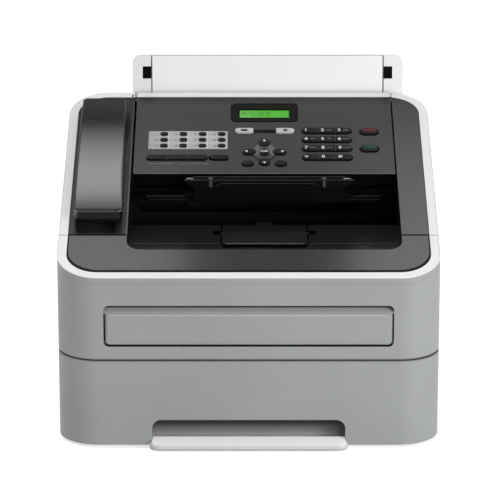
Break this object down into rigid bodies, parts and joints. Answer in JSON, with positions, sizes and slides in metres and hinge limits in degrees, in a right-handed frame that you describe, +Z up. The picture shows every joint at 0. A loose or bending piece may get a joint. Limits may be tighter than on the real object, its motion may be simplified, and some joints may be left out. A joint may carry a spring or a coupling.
{
  "type": "fax machine",
  "caption": "Desk-top laser fax machine with handset, sloping control panel, paper cassette, output tray and document feeder.",
  "frame": {"origin": "on the floor under the middle of the machine's box", "axes": "+X to the user's right along the front, +Y from the front to the back, +Z up"},
  "size_m": [0.368, 0.36, 0.308],
  "materials": {
    "cabinet_grey": "fine matt texture",
    "white_trim": "smooth satin",
    "deck_grey": "fine matt texture",
    "black_plastic": "matt",
    "handset_black": "polished",
    "pale_grey": "fine matt texture",
    "key_black": "satin",
    "key_silver": "satin",
    "key_grey": "satin",
    "screen_green": "liquid crystal glass",
    "steel": "rolled",
    "rubber": "matt",
    "board_green": "lacquered"
  },
  "bodies": {
    "cabinet": {"base_chassis": "black_plastic", "left_side_cover": "cabinet_grey", "right_side_cover": "cabinet_grey", "upper_housing": "white_trim", "output_deck": "deck_grey", "handset_cradle": "deck_grey", "scanner_unit": "black_plastic", "rubber_feet": "rubber", "toner_drum_unit": "black_plastic", "fuser_unit": "black_plastic", "laser_unit": "black_plastic", "main_board": "board_green", "power_inlet": "black_plastic"},
    "paper_tray": {"tray_box": "pale_grey", "tray_front": "cabinet_grey"},
    "left_paper_guide": {"side_guide_left": "pale_grey"},
    "right_paper_guide": {"side_guide_right": "pale_grey"},
    "rear_paper_guide": {"rear_guide": "pale_grey"},
    "paper_lift_plate": {"lift_plate": "steel"},
    "front_door": {"front_cover": "cabinet_grey", "front_trim": "white_trim", "front_deck": "deck_grey"},
    "bypass_flap": {"manual_feed_flap": "cabinet_grey"},
    "control_panel": {"panel_cover": "deck_grey", "panel_base": "white_trim", "display_window": "black_plastic", "lcd_screen": "screen_green", "left_key_block": "key_black", "clear_menu_keys": "key_black", "mode_keys": "key_silver"},
    "handset": {"handset_upper": "handset_black", "handset_lower": "handset_black"},
    "hook_switch": {"hook_plunger": "handset_black"},
    "output_stop": {"output_stop_flap": "black_plastic"},
    "paper_support": {"document_support": "white_trim"},
    "paper_catch": {"document_catch": "black_plastic"},
    "rear_door": {"rear_cover": "cabinet_grey"},
    "mains_switch": {"power_switch": "black_plastic"},
    "pickup": {"pickup_roller": "rubber"},
    "print_exit": {"print_exit_roller": "rubber"},
    "document_feed": {"document_feed_roller": "rubber"},
    "press_key_star": {"key_star": "key_grey"},
    "press_key_0": {"key_0": "key_grey"},
    "press_key_hash": {"key_hash": "key_grey"},
    "press_key_7": {"key_7": "key_grey"},
    "press_key_8": {"key_8": "key_grey"},
    "press_key_9": {"key_9": "key_grey"},
    "press_key_4": {"key_4": "key_grey"},
    "press_key_5": {"key_5": "key_grey"},
    "press_key_6": {"key_6": "key_grey"},
    "press_key_1": {"key_1": "key_grey"},
    "press_key_2": {"key_2": "key_grey"},
    "press_key_3": {"key_3": "key_grey"},
    "press_stop_key": {"stop_key": "key_black"},
    "press_start_key": {"start_key": "key_black"},
    "press_arrow_up_key": {"arrow_up_key": "key_black"},
    "press_arrow_down_key": {"arrow_down_key": "key_black"},
    "press_arrow_left_key": {"arrow_left_key": "key_black"},
    "press_arrow_right_key": {"arrow_right_key": "key_black"},
    "press_ok_key": {"ok_key": "key_black"}
  },
  "joints": [
    {"name": "tray_slide", "type": "slide", "parent": "cabinet", "child": "paper_tray", "axis": [0, -1, 0], "range_m": [0, 0.345]},
    {"name": "left_guide_slide", "type": "slide", "parent": "paper_tray", "child": "left_paper_guide", "axis": [1, 0, 0], "range_m": [0, 0.053]},
    {"name": "right_guide_slide", "type": "slide", "parent": "paper_tray", "child": "right_paper_guide", "axis": [-1, 0, 0], "range_m": [0, 0.053]},
    {"name": "rear_guide_slide", "type": "slide", "parent": "paper_tray", "child": "rear_paper_guide", "axis": [0, -1, 0], "range_m": [0, 0.149]},
    {"name": "lift_plate_hinge", "type": "hinge", "parent": "paper_tray", "child": "paper_lift_plate", "pos_m": [0, -0.017, 0.0062], "axis": [-1, 0, 0], "range_deg": [0, 9]},
    {"name": "front_door_hinge", "type": "hinge", "parent": "cabinet", "child": "front_door", "pos_m": [0, -0.164, 0.0963], "axis": [1, 0, 0], "range_deg": [0, 85]},
    {"name": "bypass_flap_hinge", "type": "hinge", "parent": "front_door", "child": "bypass_flap", "pos_m": [0, -0.1673, 0.1072], "axis": [1, 0, 0], "range_deg": [0, 85]},
    {"name": "control_panel_hinge", "type": "hinge", "parent": "cabinet", "child": "control_panel", "pos_m": [0, 0.15661, 0.26715], "axis": [-1, 0, 0], "range_deg": [0, 45]},
    {"name": "handset_lift", "type": "slide", "parent": "cabinet", "child": "handset", "axis": [0, -0.2874, 0.9578], "range_m": [0, 0.08]},
    {"name": "hook_switch_slide", "type": "slide", "parent": "cabinet", "child": "hook_switch", "axis": [0, -0.2874, 0.9578], "range_m": [0, 0.004]},
    {"name": "output_stop_hinge", "type": "hinge", "parent": "cabinet", "child": "output_stop", "pos_m": [0, -0.06, 0.1829], "axis": [-1, 0, 0], "range_deg": [0, 65]},
    {"name": "paper_support_slide", "type": "slide", "parent": "cabinet", "child": "paper_support", "axis": [0, 0.1392, 0.9903], "range_m": [0, 0.04]},
    {"name": "paper_catch_slide", "type": "slide", "parent": "cabinet", "child": "paper_catch", "axis": [0, -1, 0], "range_m": [0, 0.05]},
    {"name": "rear_door_hinge", "type": "hinge", "parent": "cabinet", "child": "rear_door", "pos_m": [0, 0.165, 0.046], "axis": [-1, 0, 0], "range_deg": [0, 90]},
    {"name": "mains_switch_rocker", "type": "hinge", "parent": "cabinet", "child": "mains_switch", "pos_m": [0.181, -0.036, 0.07], "axis": [0, -1, 0], "range_deg": [0, 7.5]},
    {"name": "pickup_spin", "type": "hinge", "parent": "cabinet", "child": "pickup", "pos_m": [0, -0.105, 0.053], "axis": [1, 0, 0], "continuous": true},
    {"name": "print_exit_spin", "type": "hinge", "parent": "cabinet", "child": "print_exit", "pos_m": [0, 0.11, 0.168], "axis": [1, 0, 0], "continuous": true},
    {"name": "document_feed_spin", "type": "hinge", "parent": "cabinet", "child": "document_feed", "pos_m": [0, 0.12439, 0.23524], "axis": [1, 0, 0], "continuous": true},
    {"name": "press_of_key_star", "type": "slide", "parent": "control_panel", "child": "press_key_star", "axis": [0, 0.2874, -0.9578], "range_m": [0, 0.0012], "stiffness_N_per_m": 500},
    {"name": "press_of_key_0", "type": "slide", "parent": "control_panel", "child": "press_key_0", "axis": [0, 0.2874, -0.9578], "range_m": [0, 0.0012], "stiffness_N_per_m": 500},
    {"name": "press_of_key_hash", "type": "slide", "parent": "control_panel", "child": "press_key_hash", "axis": [0, 0.2874, -0.9578], "range_m": [0, 0.0012], "stiffness_N_per_m": 500},
    {"name": "press_of_key_7", "type": "slide", "parent": "control_panel", "child": "press_key_7", "axis": [0, 0.2874, -0.9578], "range_m": [0, 0.0012], "stiffness_N_per_m": 500},
    {"name": "press_of_key_8", "type": "slide", "parent": "control_panel", "child": "press_key_8", "axis": [0, 0.2874, -0.9578], "range_m": [0, 0.0012], "stiffness_N_per_m": 500},
    {"name": "press_of_key_9", "type": "slide", "parent": "control_panel", "child": "press_key_9", "axis": [0, 0.2874, -0.9578], "range_m": [0, 0.0012], "stiffness_N_per_m": 500},
    {"name": "press_of_key_4", "type": "slide", "parent": "control_panel", "child": "press_key_4", "axis": [0, 0.2874, -0.9578], "range_m": [0, 0.0012], "stiffness_N_per_m": 500},
    {"name": "press_of_key_5", "type": "slide", "parent": "control_panel", "child": "press_key_5", "axis": [0, 0.2874, -0.9578], "range_m": [0, 0.0012], "stiffness_N_per_m": 500},
    {"name": "press_of_key_6", "type": "slide", "parent": "control_panel", "child": "press_key_6", "axis": [0, 0.2874, -0.9578], "range_m": [0, 0.0012], "stiffness_N_per_m": 500},
    {"name": "press_of_key_1", "type": "slide", "parent": "control_panel", "child": "press_key_1", "axis": [0, 0.2874, -0.9578], "range_m": [0, 0.0012], "stiffness_N_per_m": 500},
    {"name": "press_of_key_2", "type": "slide", "parent": "control_panel", "child": "press_key_2", "axis": [0, 0.2874, -0.9578], "range_m": [0, 0.0012], "stiffness_N_per_m": 500},
    {"name": "press_of_key_3", "type": "slide", "parent": "control_panel", "child": "press_key_3", "axis": [0, 0.2874, -0.9578], "range_m": [0, 0.0012], "stiffness_N_per_m": 500},
    {"name": "press_of_stop_key", "type": "slide", "parent": "control_panel", "child": "press_stop_key", "axis": [0, 0.2874, -0.9578], "range_m": [0, 0.0012], "stiffness_N_per_m": 500},
    {"name": "press_of_start_key", "type": "slide", "parent": "control_panel", "child": "press_start_key", "axis": [0, 0.2874, -0.9578], "range_m": [0, 0.0012], "stiffness_N_per_m": 500},
    {"name": "press_of_arrow_up_key", "type": "slide", "parent": "control_panel", "child": "press_arrow_up_key", "axis": [0, 0.2874, -0.9578], "range_m": [0, 0.0012], "stiffness_N_per_m": 500},
    {"name": "press_of_arrow_down_key", "type": "slide", "parent": "control_panel", "child": "press_arrow_down_key", "axis": [0, 0.2874, -0.9578], "range_m": [0, 0.0012], "stiffness_N_per_m": 500},
    {"name": "press_of_arrow_left_key", "type": "slide", "parent": "control_panel", "child": "press_arrow_left_key", "axis": [0, 0.2874, -0.9578], "range_m": [0, 0.0012], "stiffness_N_per_m": 500},
    {"name": "press_of_arrow_right_key", "type": "slide", "parent": "control_panel", "child": "press_arrow_right_key", "axis": [0, 0.2874, -0.9578], "range_m": [0, 0.0012], "stiffness_N_per_m": 500},
    {"name": "press_of_ok_key", "type": "slide", "parent": "control_panel", "child": "press_ok_key", "axis": [0, 0.2874, -0.9578], "range_m": [0, 0.0012], "stiffness_N_per_m": 500}
  ],
  "couplings": [
    {"joint": "right_guide_slide", "follows": "left_guide_slide", "ratio": 1},
    {"joint": "hook_switch_slide", "follows": "handset_lift", "ratio": 0.05}
  ]
}
